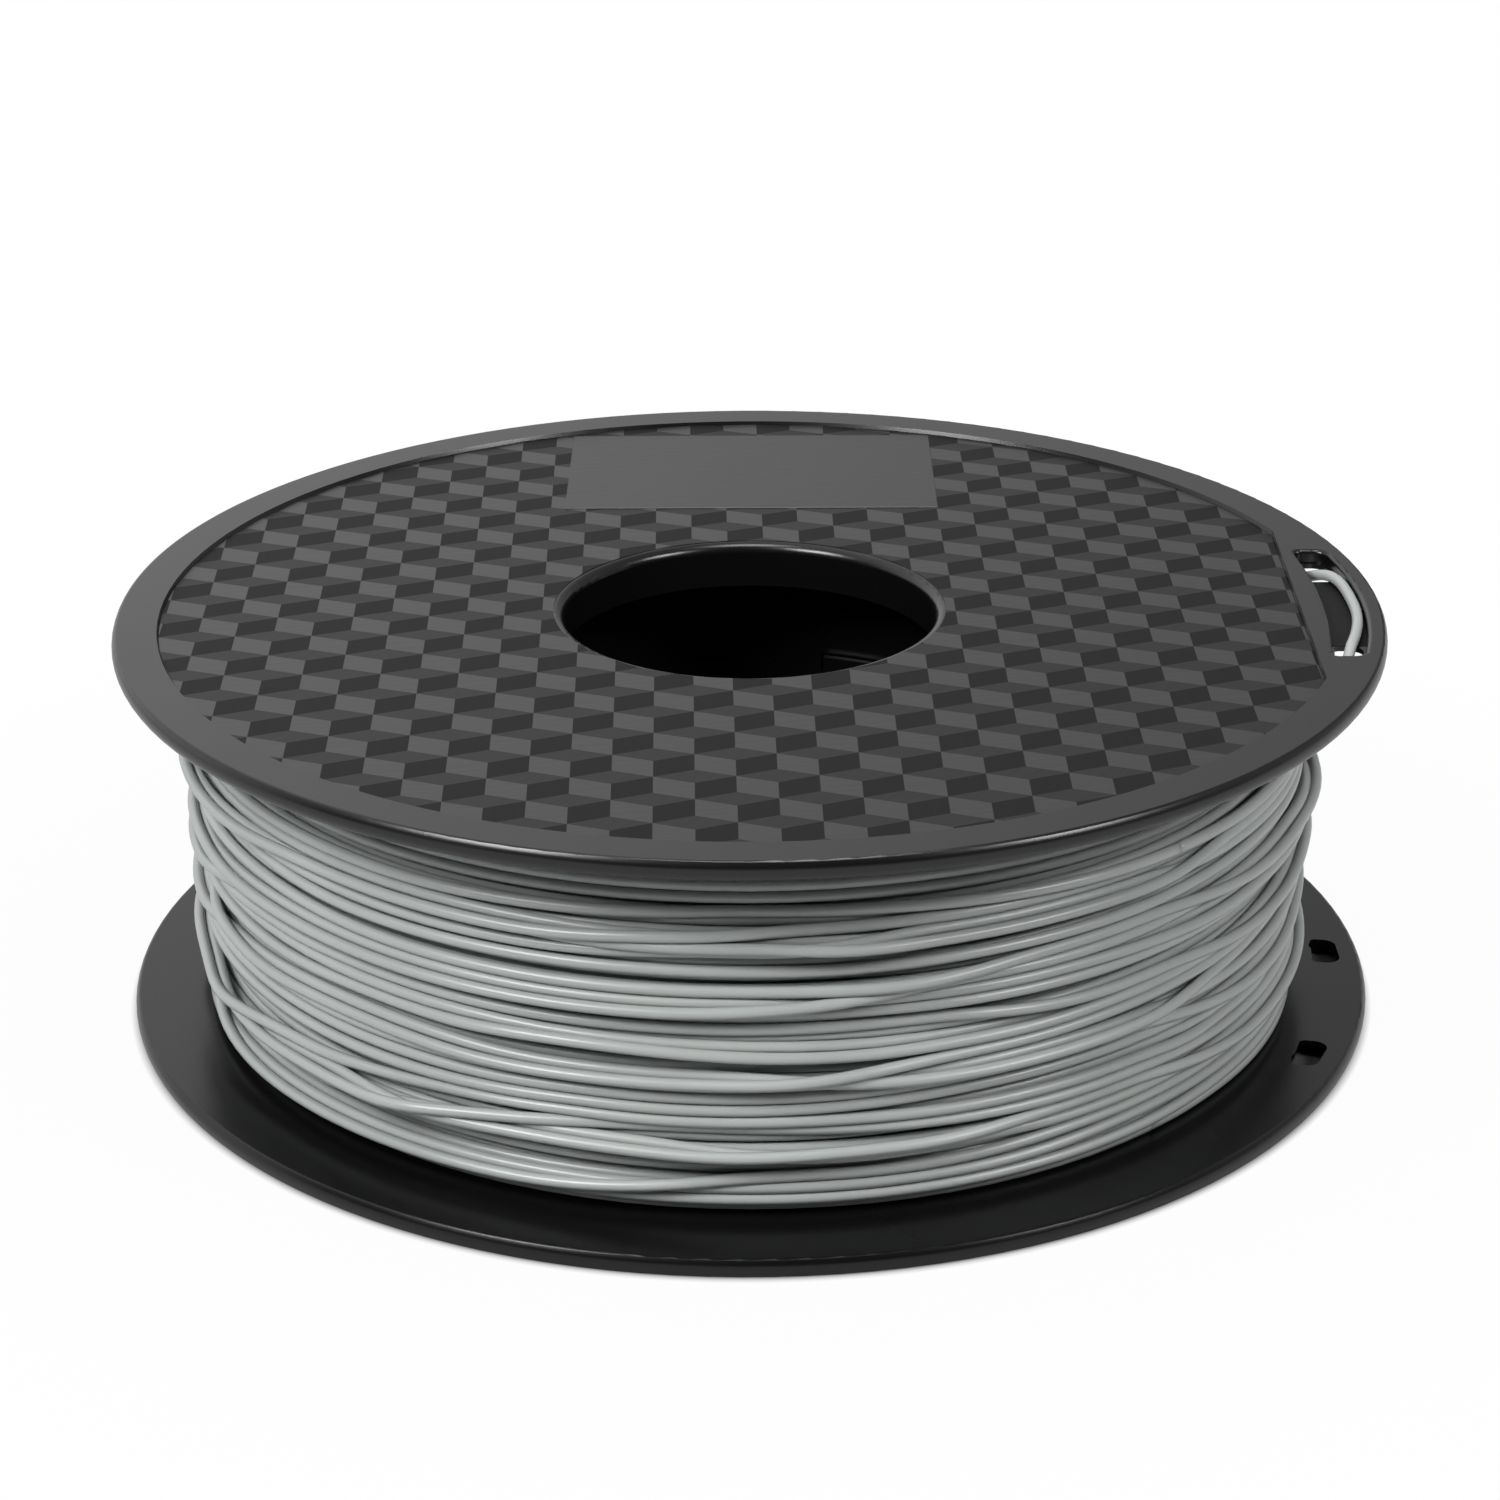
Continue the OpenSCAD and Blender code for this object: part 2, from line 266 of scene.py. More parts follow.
@dataclass(frozen=True)
class StudioPaper:
    """Matt white background paper.

    The eye gets an even white with a soft shadow round the spool. Where the spool covers the paper
    and no glow reaches it, the paper's colour turns a dull darker grey, which is painted shade.
    Radii are in millimetres.
    """

    name: str = "studio_paper"
    colour: str = "#a8a8a8"
    covered_shade_colour: str = "#5c5c5c"
    glow_share: float = 0.965
    gloss_share: float = 0.5
    covered_r: float = 99.0
    glow_edge: float = 2.0
    open_r: float = 220.0

    def material(self) -> bpy.types.Material:
        """Builds the material's nodes.

        Returns:
            The finished material.
        """
        material, tree, output = new_material(self.name)
        path = add_node(tree, "ShaderNodeLightPath")
        seen = add_node(tree, "ShaderNodeMath", {"operation": "MAXIMUM"},
                        {0: path.outputs["Is Camera Ray"], 1: path.outputs["Is Transmission Ray"]})
        seen = add_node(tree, "ShaderNodeMath", {"operation": "MULTIPLY_ADD", 1: self.gloss_share},
                        {0: path.outputs["Is Glossy Ray"], 2: seen.outputs[0]})
        place = add_node(tree, "ShaderNodeTexCoord").outputs["Object"]
        away = add_node(tree, "ShaderNodeVectorMath", {"operation": "LENGTH"}, {0: place})
        edge_r = self.covered_r + self.glow_edge
        covered = add_node(tree, "ShaderNodeMapRange",
                           {"From Min": self.covered_r * MM, "From Max": edge_r * MM},
                           {"Value": away.outputs["Value"]})
        open_share = add_node(tree, "ShaderNodeMapRange",
                              {"From Min": edge_r * MM, "From Max": self.open_r * MM,
                               "To Min": self.glow_share},
                              {"Value": away.outputs["Value"]})
        glow_share = add_node(tree, "ShaderNodeMath", {"operation": "MULTIPLY"},
                              {0: covered.outputs["Result"], 1: open_share.outputs["Result"]})
        share = add_node(tree, "ShaderNodeMath", {"operation": "MULTIPLY"},
                         {0: seen.outputs[0], 1: glow_share.outputs[0]})
        # Under the spool the paper's colour turns darker grey: painted shade.
        paper_with_painted_shade = add_node(tree, "ShaderNodeMix",
                        {"data_type": "RGBA", 6: linear(self.covered_shade_colour), 7: linear(self.colour)},
                        {"Factor": covered.outputs["Result"]})
        paper = add_node(tree, "ShaderNodeBsdfDiffuse", None, {"Color": paper_with_painted_shade.outputs[2]})
        glow = add_node(tree, "ShaderNodeEmission", {"Strength": 1.0})
        mixed = add_node(tree, "ShaderNodeMixShader", None,
                         {0: share.outputs[0], 1: paper.outputs["BSDF"], 2: glow.outputs["Emission"]})
        tree.links.new(mixed.outputs["Shader"], output.inputs["Surface"])
        return material


def new_object(name: str, mesh: bpy.types.Mesh,
               materials: Sequence[bpy.types.Material]) -> bpy.types.Object:
    """Puts a mesh into the scene as one object.

    Args:
        name: The piece's name.
        mesh: Its mesh, in metres.
        materials: Its materials, in slot order.

    Returns:
        The object.
    """
    piece = bpy.data.objects.new(name, mesh)
    bpy.context.scene.collection.objects.link(piece)
    for material in materials:
        mesh.materials.append(material)
    return piece


def mesh_from(name: str, points: np.ndarray, faces: Sequence[Sequence[int]],
              smooth: bool) -> bpy.types.Mesh:
    """Builds a mesh from points and faces.

    Args:
        name: The mesh's name.
        points: One row of x, y and z in millimetres for each vertex.
        faces: Vertex numbers of each face.
        smooth: Whether the faces are shaded smooth.

    Returns:
        The mesh, in metres.
    """
    mesh = bpy.data.meshes.new(name)
    mesh.from_pydata((np.asarray(points) * MM).tolist(), [], [list(face) for face in faces])
    mesh.polygons.foreach_set("use_smooth", [smooth] * len(mesh.polygons))
    mesh.update()
    return mesh


def ring_faces(rings: int, sides: int, closed: bool) -> list[tuple[int, int, int, int]]:
    """Joins rings of points, one after the other, with four-sided faces.

    Args:
        rings: How many rings there are.
        sides: Points in one ring.
        closed: Whether the last ring joins the first.

    Returns:
        The faces, as vertex numbers.
    """
    faces = []
    for ring in range(rings if closed else rings - 1):
        here, there = ring * sides, (ring + 1) % rings * sides
        for side in range(sides):
            after = (side + 1) % sides
            faces.append((here + side, here + after, there + after, there + side))
    return faces


def hump(off: np.ndarray) -> np.ndarray:
    """Gives a smooth hump that is 1 at 0 and falls to 0 at 1 on either side."""
    return 0.5 + 0.5 * np.cos(math.pi * off)


def tube_mesh(name: str, path: np.ndarray, diameter: float, sides: int) -> bpy.types.Mesh:
    """Sweeps a round section along a path.

    Args:
        name: The mesh's name.
        path: Points of the path in millimetres, one per row.
        diameter: Diameter of the strand in millimetres.
        sides: Points round the section.

    Returns:
        A closed tube with flat ends.
    """
    along = np.gradient(path, axis=0)
    along /= np.linalg.norm(along, axis=1, keepdims=True)
    side = np.cross(along, (0.0, 0.0, 1.0))
    side /= np.linalg.norm(side, axis=1, keepdims=True)
    up = np.cross(side, along)
    turn = np.arange(sides) * 2 * math.pi / sides
    rings = (path[:, None, :]
             + diameter / 2 * (np.cos(turn)[None, :, None] * side[:, None, :]
                               + np.sin(turn)[None, :, None] * up[:, None, :]))
    faces: list[Sequence[int]] = [face[::-1] for face in ring_faces(len(path), sides, closed=False)]
    last = (len(path) - 1) * sides
    faces.append(list(range(sides)))
    faces.append([last + k for k in reversed(range(sides))])
    return mesh_from(name, rings.reshape(-1, 3), faces, smooth=True)


@dataclass(frozen=True)
class SpoolSizes:
    """Sizes of the moulded spool that the pieces here fit, in millimetres."""

    spool_w: float = 64.6
    flange_t: float = 3.0
    panel_r: float = 93.0
    panel_depth: float = 0.7
    panel_slope: float = 0.3
    chord_x: float = 86.9
    lip_outer_r: float = 31.0
    drum_r: float = 49.0
    slot_out_r: float = 96.9
    slot_w: float = 6.15
    slot_arc_r: float = 165.0
    slot_len: float = 47.0
    slot_depth: float = 2.2
    eye_len: float = 8.6
    eye_step: float = 0.5
    wound_r: float = 88.0
    leave_drop: float = 11.2
    leave_before_eye_deg: float = 32.0
    filament_d: float = 1.75
    wind_gap: float = 0.1
    lower_turn_deg: float = -11.2

    @property
    def under_z(self) -> float:
        """Height of the upper flange's inner face."""
        return self.spool_w - self.flange_t

    @property
    def slot_mid_r(self) -> float:
        """Radius of the slot's middle line."""
        return self.slot_out_r - self.slot_w / 2

    @property
    def tail_lay_r(self) -> float:
        """Radius at which the free end lies on the winding."""
        return self.wound_r + self.filament_d / 2 + self.wind_gap

    @property
    def tail_rub_r(self) -> float:
        """Radius at which the free end rubs along the slot's outer wall."""
        return self.slot_out_r - self.filament_d / 2 - 1.5 * self.wind_gap

    @property
    def tail_slot_z(self) -> float:
        """Height of the free end in the slot."""
        return self.spool_w - self.slot_depth + self.filament_d / 2 + self.wind_gap

    @property
    def eye_start_deg(self) -> float:
        """Angle from the slot's middle to where an eye starts."""
        start = self.slot_len / 2 - self.eye_step - self.eye_len
        return math.degrees(math.asin(start / self.slot_mid_r))

    @property
    def eye_end_deg(self) -> float:
        """Angle from the slot's middle to where an eye ends."""
        end = self.slot_len / 2 - self.eye_step
        return math.degrees(math.asin(end / self.slot_mid_r))


class Flange(Enum):
    """The two flanges, which are the same moulding, one turned over."""

    UPPER = "upper"
    LOWER = "lower"


class Tile(Enum):
    """The three faces of each cube in the tumbling-block pattern, by their slot."""

    LIGHT = 0
    DARK = 1
    TOP = 2


@dataclass
class FacePanel:
    """The sunk panel's tumbling-block tiles, the plain pad for a label, and a dark sheet of painted shade
    on the slot's floor.

    They are laid out as seen from outside the flange, with the slot to the right, in
    millimetres from the panel's own level, and are then turned into place.
    """

    sizes: SpoolSizes
    tile_w: float = 5.93
    tile_h: float = 5.62
    tile_slant: float = 2.57
    pattern_turn_deg: float = 0.94
    pattern_x: float = -3.17
    pattern_y: float = 5.15
    relief: float = 0.07
    sheet_top: float = 0.10
    sheet_bottom: float = -0.05
    edge_gap: float = 0.05
    pad_x: tuple[float, float] = (-31.2, 32.0)
    pad_y: tuple[float, float] = (47.3, 86.3)
    pad_top: float = 0.2
    pad_edge: float = 0.08
    slot_sheet: float = 0.05
    trim_reach: float = 1.0
    arc_steps: int = 256
    slot_steps: int = 25

    def placing(self, flange: Flange) -> Matrix:
        """Gives the placing of a panel's face on one flange.

        Args:
            flange: The flange that the face belongs to.

        Returns:
            The matrix from the face's own layout, in metres, to the spool.
        """
        sizes = self.sizes
        if flange is Flange.UPPER:
            return Matrix.Translation((0, 0, (sizes.spool_w - sizes.panel_depth) * MM))
        return (Matrix.Rotation(math.radians(sizes.lower_turn_deg), 4, "Z")
                @ Matrix.Translation((0, 0, sizes.panel_depth * MM))
                @ Matrix.Rotation(math.pi, 4, "X"))

    def tile_sheet(self) -> bpy.types.Mesh:
        """Lays the tiles as one closed sheet, wider than the panel.

        Each cube's near corner stands proud and its far corners lie low, so every tile is a
        flat parallelogram that leans its own way.

        Returns:
            The sheet's mesh, with each tile's slot set.
        """
        w, h, s = self.tile_w, self.tile_h, self.tile_slant
        turn = math.radians(self.pattern_turn_deg)
        across = np.array([2 * w, 0.0])
        down = np.array([w, -(s + h)])
        reach = self.sizes.panel_r + 2 * w
        low, level, high = (self.sheet_top + self.relief * k for k in (-1, 0, 1))
        # Corners of each tile, measured from the middle of its cube's upper face.
        shapes = {
            Tile.LIGHT: ((-w, 0, level), (-w, -h, low), (0, -s - h, level), (0, -s, high)),
            Tile.DARK: ((0, -s, high), (0, -s - h, level), (w, -h, low), (w, 0, level)),
            Tile.TOP: ((-w, 0, level), (0, -s, high), (w, 0, level), (0, s, low)),
        }
        number: dict[tuple[float, float], int] = {}
        points: list[Point] = []
        tops: list[list[int]] = []
        slots: list[int] = []
        span = int(2 * reach / h)
        for row in range(-span, span + 1):
            for column in range(-span, span + 1):
                corner = column * across + row * down
                if np.hypot(*corner) > reach:
                    continue
                for tile, shape in shapes.items():
                    face = []
                    for x, y, z in shape:
                        # Tiles that meet share their corner.
                        spot = (round(corner[0] + x, 3), round(corner[1] + y, 3))
                        if spot not in number:
                            number[spot] = len(points)
                            points.append((*spot, z))
                        face.append(number[spot])
                    tops.append(face)
                    slots.append(tile.value)
        faces, slots = self.close_sheet(points, tops, slots)
        xyz = np.array(points)
        turned = xyz.copy()
        turned[:, 0] = self.pattern_x + xyz[:, 0] * math.cos(turn) - xyz[:, 1] * math.sin(turn)
        turned[:, 1] = self.pattern_y + xyz[:, 0] * math.sin(turn) + xyz[:, 1] * math.cos(turn)
        mesh = mesh_from("tile_sheet", turned, faces, smooth=False)
        mesh.polygons.foreach_set("material_index", slots)
        return mesh

    def close_sheet(self, points: list[Point], tops: list[list[int]],
                    slots: list[int]) -> tuple[list[list[int]], list[int]]:
        """Closes the sheet with a flat underside and walls round its outline.

        Args:
            points: The sheet's points, which get the underside's points added.
            tops: The tiles' vertex numbers.
            slots: The tiles' slots.

        Returns:
            All faces, and a slot for each.
        """
        count = len(points)
        points.extend([(x, y, self.sheet_bottom) for x, y, _ in points])
        edges = {(face[k], face[(k + 1) % 4]) for face in tops for k in range(4)}
        unders = [[k + count for k in reversed(face)] for face in tops]
        walls = [[b, a, a + count, b + count] for a, b in sorted(edges) if (b, a) not in edges]
        return tops + unders + walls, slots + slots + [Tile.TOP.value] * len(walls)

    def outline_cutter(self) -> bpy.types.Mesh:
        """Builds the prism that trims the sheet: the panel's outline with a hole for the bore.

        Returns:
            The prism's mesh.
        """
        sizes = self.sizes
        outer_r = sizes.panel_r - sizes.panel_slope - self.edge_gap
        edge_x = sizes.chord_x - sizes.panel_slope - self.edge_gap
        inner_r = sizes.lip_outer_r + self.edge_gap
        rings = []
        for z in (-self.trim_reach, self.trim_reach):
            for r, limit in ((outer_r, edge_x), (inner_r, math.inf)):
                for step in range(self.arc_steps):
                    angle = 2 * math.pi * (step + 0.5) / self.arc_steps
                    rings.append((min(r * math.cos(angle), limit), r * math.sin(angle), z))
        n = self.arc_steps
        low_out, low_in, high_out, high_in = 0, n, 2 * n, 3 * n
        faces = []
        for step in range(n):
            after = (step + 1) % n
            faces.append((low_out + step, low_out + after, high_out + after, high_out + step))
            faces.append((low_in + after, low_in + step, high_in + step, high_in + after))
            faces.append((high_out + step, high_out + after, high_in + after, high_in + step))
            faces.append((low_out + after, low_out + step, low_in + step, low_in + after))
        return mesh_from("outline_cutter", np.array(rings), faces, smooth=False)

    def tiles(self, flange: Flange, finishes: dict[Tile, bpy.types.Material]) -> bpy.types.Object:
        """Makes the tiles of one flange.

        Args:
            flange: The flange that gets them.
            finishes: A material for each kind of tile.

        Returns:
            The tiles, as one piece.
        """
        materials = [finishes[tile] for tile in Tile]
        piece = new_object(f"face_tiles_{flange.value}", self.tile_sheet(), materials)
        cutter = new_object("cutter", self.outline_cutter(), materials)
        trim = piece.modifiers.new("trim", "BOOLEAN")
        trim.operation = "INTERSECT"
        trim.solver = "EXACT"
        trim.object = cutter
        graph = bpy.context.evaluated_depsgraph_get()
        trimmed = bpy.data.meshes.new_from_object(piece.evaluated_get(graph))
        piece.modifiers.clear()
        piece.data = trimmed
        bpy.data.objects.remove(cutter)
        piece.data.transform(self.placing(flange))
        return piece

    def plain_piece(self, kind: str, flange: Flange, points: Sequence[Point],
                    faces: Sequence[Sequence[int]], finish: bpy.types.Material) -> bpy.types.Object:
        """Makes a piece with flat faces and sets it in its place on one flange.

        Args:
            kind: What the piece is, which starts its name.
            flange: The flange that gets it.
            points: Its corners, as the panel is laid out.
            faces: Vertex numbers of each face.
            finish: Its material.

        Returns:
            The piece.
        """
        name = f"{kind}_{flange.value}"
        piece = new_object(name, mesh_from(name, np.array(points), faces, smooth=False), [finish])
        piece.data.transform(self.placing(flange))
        return piece

    def slot_shade_sheet(self, flange: Flange, finish: bpy.types.Material) -> bpy.types.Object:
        """Makes a dark sheet on the floor of one flange's slot, between its two eyes: painted shade for
        the recess.

        Args:
            flange: The flange that gets it.
            finish: The sheet's material.

        Returns:
            The skin.
        """
        sizes = self.sizes
        reach = sizes.slot_len / 2 - sizes.eye_step - sizes.eye_len - self.edge_gap
        outer_r = sizes.slot_out_r - self.edge_gap
        inner_r = sizes.slot_arc_r + self.edge_gap
        inner_x = sizes.slot_out_r - sizes.slot_w - sizes.slot_arc_r
        along = np.linspace(-reach, reach, self.slot_steps)
        outline = [(math.sqrt(outer_r ** 2 - y ** 2), y) for y in along]
        outline += [(inner_x + math.sqrt(inner_r ** 2 - y ** 2), y) for y in reversed(along)]
        floor_z = sizes.panel_depth - sizes.slot_depth
        points = [(x, y, floor_z + rise) for rise in (0.0, self.slot_sheet) for x, y in outline]
        count = len(outline)
        faces: list[Sequence[int]] = list(ring_faces(2, count, closed=False))
        faces.append(tuple(reversed(range(count))))
        faces.append(tuple(range(count, 2 * count)))
        return self.plain_piece("slot_shade_sheet", flange, points, faces, finish)

    def pad(self, flange: Flange, finish: bpy.types.Material) -> bpy.types.Object:
        """Makes the plain pad of one flange, with slightly broken edges.

        Args:
            flange: The flange that gets it.
            finish: The pad's material.

        Returns:
            The pad.
        """
        (x0, x1), (y0, y1) = self.pad_x, self.pad_y
        edge = self.pad_edge
        levels = ((0.0, self.sheet_bottom), (0.0, self.pad_top - edge), (edge, self.pad_top))
        points = []
        for inset, z in levels:
            for x, y in ((x0 + inset, y0 + inset), (x1 - inset, y0 + inset),
                         (x1 - inset, y1 - inset), (x0 + inset, y1 - inset)):
                points.append((x, y, z))
        faces: list[Sequence[int]] = list(ring_faces(len(levels), 4, closed=False))
        faces.append((3, 2, 1, 0))
        faces.append((8, 9, 10, 11))
        return self.plain_piece("label_pad", flange, points, faces, finish)


@dataclass(frozen=True)
class Slack:
    """A place where one turn stands off the winding."""

    turn: float
    angle_deg: float
    rise: float
    spread_deg: float


@dataclass
class WoundStrand:
    """The filament's outer turns, laid one after the other as a winding machine lays them.

    Each turn follows the guide, slides into the groove between the turns below it, and is
    pulled taut over what it crosses. The guide wanders in waves and now and then hops aside.
    slide is how readily a turn slips, and grip how strongly the guide holds it. Lengths are in
    millimetres, and periods in turns.
    """

    sizes: SpoolSizes
    seed: int = 7
    steps: int = 180
    under_turns: int = 28
    outer_turns: int = 23
    under_r: float = 85.6
    under_wander: float = 0.5
    under_periods: tuple[float, ...] = (0.53, 1.31, 2.9)
    outer_wander: float = 0.75
    outer_spread: tuple[float, float] = (0.6, 1.2)
    outer_periods: tuple[float, ...] = (0.37, 0.61, 0.93, 1.43, 2.3, 3.7, 5.9)
    full_period: float = 6.0
    fade_turns: float = 0.7
    hop_margin: float = 0.5
    hops_per_turn: float = 2.4
    hop_size: tuple[float, float] = (0.7, 2.6)
    hop_spread_deg: tuple[float, float] = (30.0, 75.0)
    grip: float = 0.25
    slide: float = 0.22
    steepest: float = 1.5
    settle_step: float = 0.25
    settle_passes: int = 40
    taut_passes: int = 60
    stiff_deg: float = 5.0
    lead_turns: float = 0.14
    under_sides: int = 8
    outer_sides: int = 12
    core_segments: int = 144
    core_off_drum: float = 2.5
    rib_steps: int = 5
    rib_drop: float = 0.62
    rib_bulge: float = 0.7
    slacks: tuple[Slack, ...] = (
        Slack(turn=12.0, angle_deg=0.0, rise=2.0, spread_deg=17.0),
        Slack(turn=2.0, angle_deg=180.0, rise=1.5, spread_deg=11.0),
    )
    angle: np.ndarray = field(init=False)
    radius: np.ndarray = field(init=False)
    height: np.ndarray = field(init=False)

    def limits(self) -> tuple[float, float]:
        """Gives the lowest and the highest height that the strand's middle may have."""
        clear = self.sizes.wind_gap + self.sizes.filament_d / 2
        return self.sizes.flange_t + clear, self.sizes.under_z - clear

    def guide(self) -> np.ndarray:
        """Works out the height that the machine's guide aims at, step by step.

        Returns:
            One height for each step of the strand.
        """
        chance = random.Random(self.seed)
        bottom, top = self.limits()
        end = self.sizes.under_z - self.sizes.leave_drop
        under = np.linspace(top, bottom, self.under_turns * self.steps, endpoint=False)
        outer = np.linspace(bottom, end, self.outer_turns * self.steps + 1)
        turn = np.arange(len(outer)) / self.steps
        wander = np.zeros(len(outer))
        for period in self.outer_periods:
            size = self.outer_wander * math.sqrt(period / self.full_period)
            size *= chance.uniform(*self.outer_spread)
            wander += size * np.sin(2 * math.pi * (turn / period + chance.random()))
        wander += self.hops(turn, chance)
        outer += wander * self.fade(turn)
        turn = np.arange(len(under)) / self.steps
        wander = np.zeros(len(under))
        for period in self.under_periods:
            wander += self.under_wander * np.sin(2 * math.pi * (turn / period + chance.random()))
        under += wander * self.fade(turn)
        return np.clip(np.concatenate([under, outer]), bottom, top)

    def fade(self, turn: np.ndarray) -> np.ndarray:
        """Gives the share of its wander that a layer has, which fades out at both its ends."""
        return np.clip(np.minimum(turn, turn[-1] - turn) / self.fade_turns, 0, 1)

    def hops(self, turn: np.ndarray, chance: random.Random) -> np.ndarray:
        """Works out where the strand hops out of line and crosses its neighbours.

        Args:
            turn: The strand's place at each step, in turns.
            chance: The winding's random numbers.

        Returns:
            How far the strand lies above its line at each step.
        """
        lift = np.zeros(len(turn))
        for _ in range(round(self.hops_per_turn * turn[-1])):
            place = chance.uniform(self.hop_margin, turn[-1] - self.hop_margin)
            size = chance.choice((-1, 1)) * chance.uniform(*self.hop_size)
            spread = chance.uniform(*self.hop_spread_deg) / 360
            off = np.clip(np.abs(turn - place) / spread, 0, 1)
            lift += size * hump(off)
        return lift

    def support(self, height: np.ndarray, laid_r: np.ndarray, laid_z: np.ndarray) -> np.ndarray:
        """Finds the smallest radius at which a turn clears those laid before it.

        Args:
            height: The turn's height at each step.
            laid_r: Radius of the turns laid so far, one row per turn.
            laid_z: Height of the turns laid so far, one row per turn.

        Returns:
            The radius at each step.
        """
        if not len(laid_r):
            return np.full(len(height), self.under_r)
        gap = np.abs(laid_z - height[None, :])
        room = np.clip(self.sizes.filament_d ** 2 - gap ** 2, 0, None)
        reach = np.where(gap < self.sizes.filament_d, laid_r + np.sqrt(room), self.under_r)
        return np.maximum(reach.max(axis=0), self.under_r)

    def wind(self) -> None:
        """Lays the whole strand and keeps its angle, radius and height at each step."""
        target = self.guide()
        count = len(target)
        end = -math.radians(self.sizes.eye_end_deg + self.sizes.leave_before_eye_deg)
        self.angle = end - (count - 1 - np.arange(count)) * 2 * math.pi / self.steps
        radius = np.full(count, self.under_r)
        height = target.copy()
        turns = math.ceil(count / self.steps)
        laid_r = np.zeros((turns, self.steps))
        laid_z = np.zeros((turns, self.steps))
        for turn in range(turns):
            first, last = turn * self.steps, min((turn + 1) * self.steps, count)
            below_r, below_z = laid_r[:turn, :last - first], laid_z[:turn, :last - first]
            z = self.settle(target[first:last], height[first - 1] if turn else None,
                            below_r, below_z)
            height[first:last] = z
            radius[first:last] = self.taut(self.support(z, below_r, below_z),
                                           radius[first - 1] if turn else self.under_r)
            laid_r[turn, :last - first] = radius[first:last]
            laid_z[turn, :last - first] = z
        self.radius, self.height = self.finish_lay(radius, height)

    def settle(self, aim: np.ndarray, before: float | None, laid_r: np.ndarray,
               laid_z: np.ndarray) -> np.ndarray:
        """Lets a turn slide sideways off the turns below it, held back by the guide.

        Args:
            aim: The height that the guide aims at, at each step.
            before: The height just before the turn starts, or None for the first turn.
            laid_r: Radius of the turns laid so far, one row per turn.
            laid_z: Height of the turns laid so far, one row per turn.

        Returns:
            The height at each step.
        """
        z = aim.copy()
        nudge = 0.06
        for _ in range(self.settle_passes):
            slope = (self.support(z + nudge, laid_r, laid_z)
                     - self.support(z - nudge, laid_r, laid_z)) / (2 * nudge)
            slip = self.slide * np.clip(slope, -self.steepest, self.steepest)
            z = z - self.settle_step * slip - self.settle_step * self.grip * (z - aim)
            z = np.clip(self.ease(z, z[0] if before is None else before), *self.limits())
        return z

    def ease(self, values: np.ndarray, before: float) -> np.ndarray:
        """Evens out a run of values a little, starting from the value before it."""
        padded = np.concatenate([[before], values, [values[-1]]])
        return 0.25 * padded[:-2] + 0.5 * padded[1:-1] + 0.25 * padded[2:]

    def taut(self, floor: np.ndarray, before: float) -> np.ndarray:
        """Pulls a turn taut over what it lies on.

        Args:
            floor: The smallest radius that the turn may have at each step.
            before: The radius just before the turn starts.

        Returns:
            The radius at each step.
        """
        bend = math.cos(2 * math.pi / self.steps)
        r = floor.copy()
        for _ in range(self.taut_passes):
            left = np.concatenate([[before], r[:-1]])
            right = np.concatenate([r[1:], [r[-1]]])
            r = np.maximum(floor, 2 * left * right * bend / (left + right))
        return r

    def finish_lay(self, radius: np.ndarray, height: np.ndarray) -> tuple[np.ndarray, np.ndarray]:
        """Adds the strand's own stiffness, its slack places and the way to its free end.

        Args:
            radius: The taut strand's radius at each step.
            height: Its height at each step.

        Returns:
            The final radius and height.
        """
        half = max(1, round(self.stiff_deg / 360 * self.steps))
        kernel = np.hanning(2 * half + 3)[1:-1]
        kernel /= kernel.sum()
        smooth_r = np.convolve(np.pad(radius, half, mode="edge"), kernel, mode="valid")
        smooth_z = np.convolve(np.pad(height, half, mode="edge"), kernel, mode="valid")
        start = self.under_turns * self.steps
        turn = (np.arange(len(radius)) - start) / self.steps
        angle = np.degrees(self.angle)
        for slack in self.slacks:
            off = (angle - slack.angle_deg + 180) % 360 - 180
            here = (np.abs(turn - slack.turn) < 0.5) & (np.abs(off) < slack.spread_deg)
            smooth_r[here] += slack.rise * hump(off[here] / slack.spread_deg)
        lead = np.clip(1 + (turn - turn[-1]) / self.lead_turns, 0, 1)
        lead = lead * lead * (3 - 2 * lead)
        smooth_r += lead * (self.sizes.tail_lay_r - smooth_r)
        smooth_z += lead * (self.sizes.under_z - self.sizes.leave_drop - smooth_z)
        return smooth_r, smooth_z

    def path(self, first: int, last: int, stride: int) -> np.ndarray:
        """Gives part of the strand as points.

        Args:
            first: The first step.
            last: The last step.
            stride: Steps from one point to the next.

        Returns:
            One point per row, in millimetres.
        """
        pick = np.unique(np.append(np.arange(first, last, stride), last))
        return np.stack([self.radius[pick] * np.cos(self.angle[pick]),
                         self.radius[pick] * np.sin(self.angle[pick]), self.height[pick]], axis=1)

    def core(self) -> bpy.types.Mesh:
        """Turns the body of deeper turns that shows between the outer ones.

        Returns:
            A closed ring from the drum to the layer below the outer turns.
        """
        sizes = self.sizes
        bottom = sizes.flange_t + sizes.wind_gap
        top = sizes.under_z - sizes.wind_gap
        pitch = (top - bottom) / self.under_turns
        inner_r = sizes.drum_r + self.core_off_drum
        rib_r = self.under_r - sizes.filament_d / 2 - self.rib_drop
        bulge = self.rib_bulge * sizes.filament_d / 2
        profile = [(inner_r, bottom)]
        for rib in range(self.under_turns):
            for step in range(self.rib_steps):
                angle = math.pi * (step / self.rib_steps - 0.5)
                profile.append((rib_r + bulge * math.cos(angle),
                                bottom + pitch * (rib + 0.5 + 0.5 * math.sin(angle))))
        profile.append((rib_r, top))
        profile.append((inner_r, top))
        rings = []
        for segment in range(self.core_segments):
            turn = 2 * math.pi * segment / self.core_segments
            rings.extend([(r * math.cos(turn), r * math.sin(turn), z) for r, z in profile])
        faces = [face[::-1] for face in ring_faces(self.core_segments, len(profile), closed=True)]
        return mesh_from("wound_core", np.array(rings), faces, smooth=False)

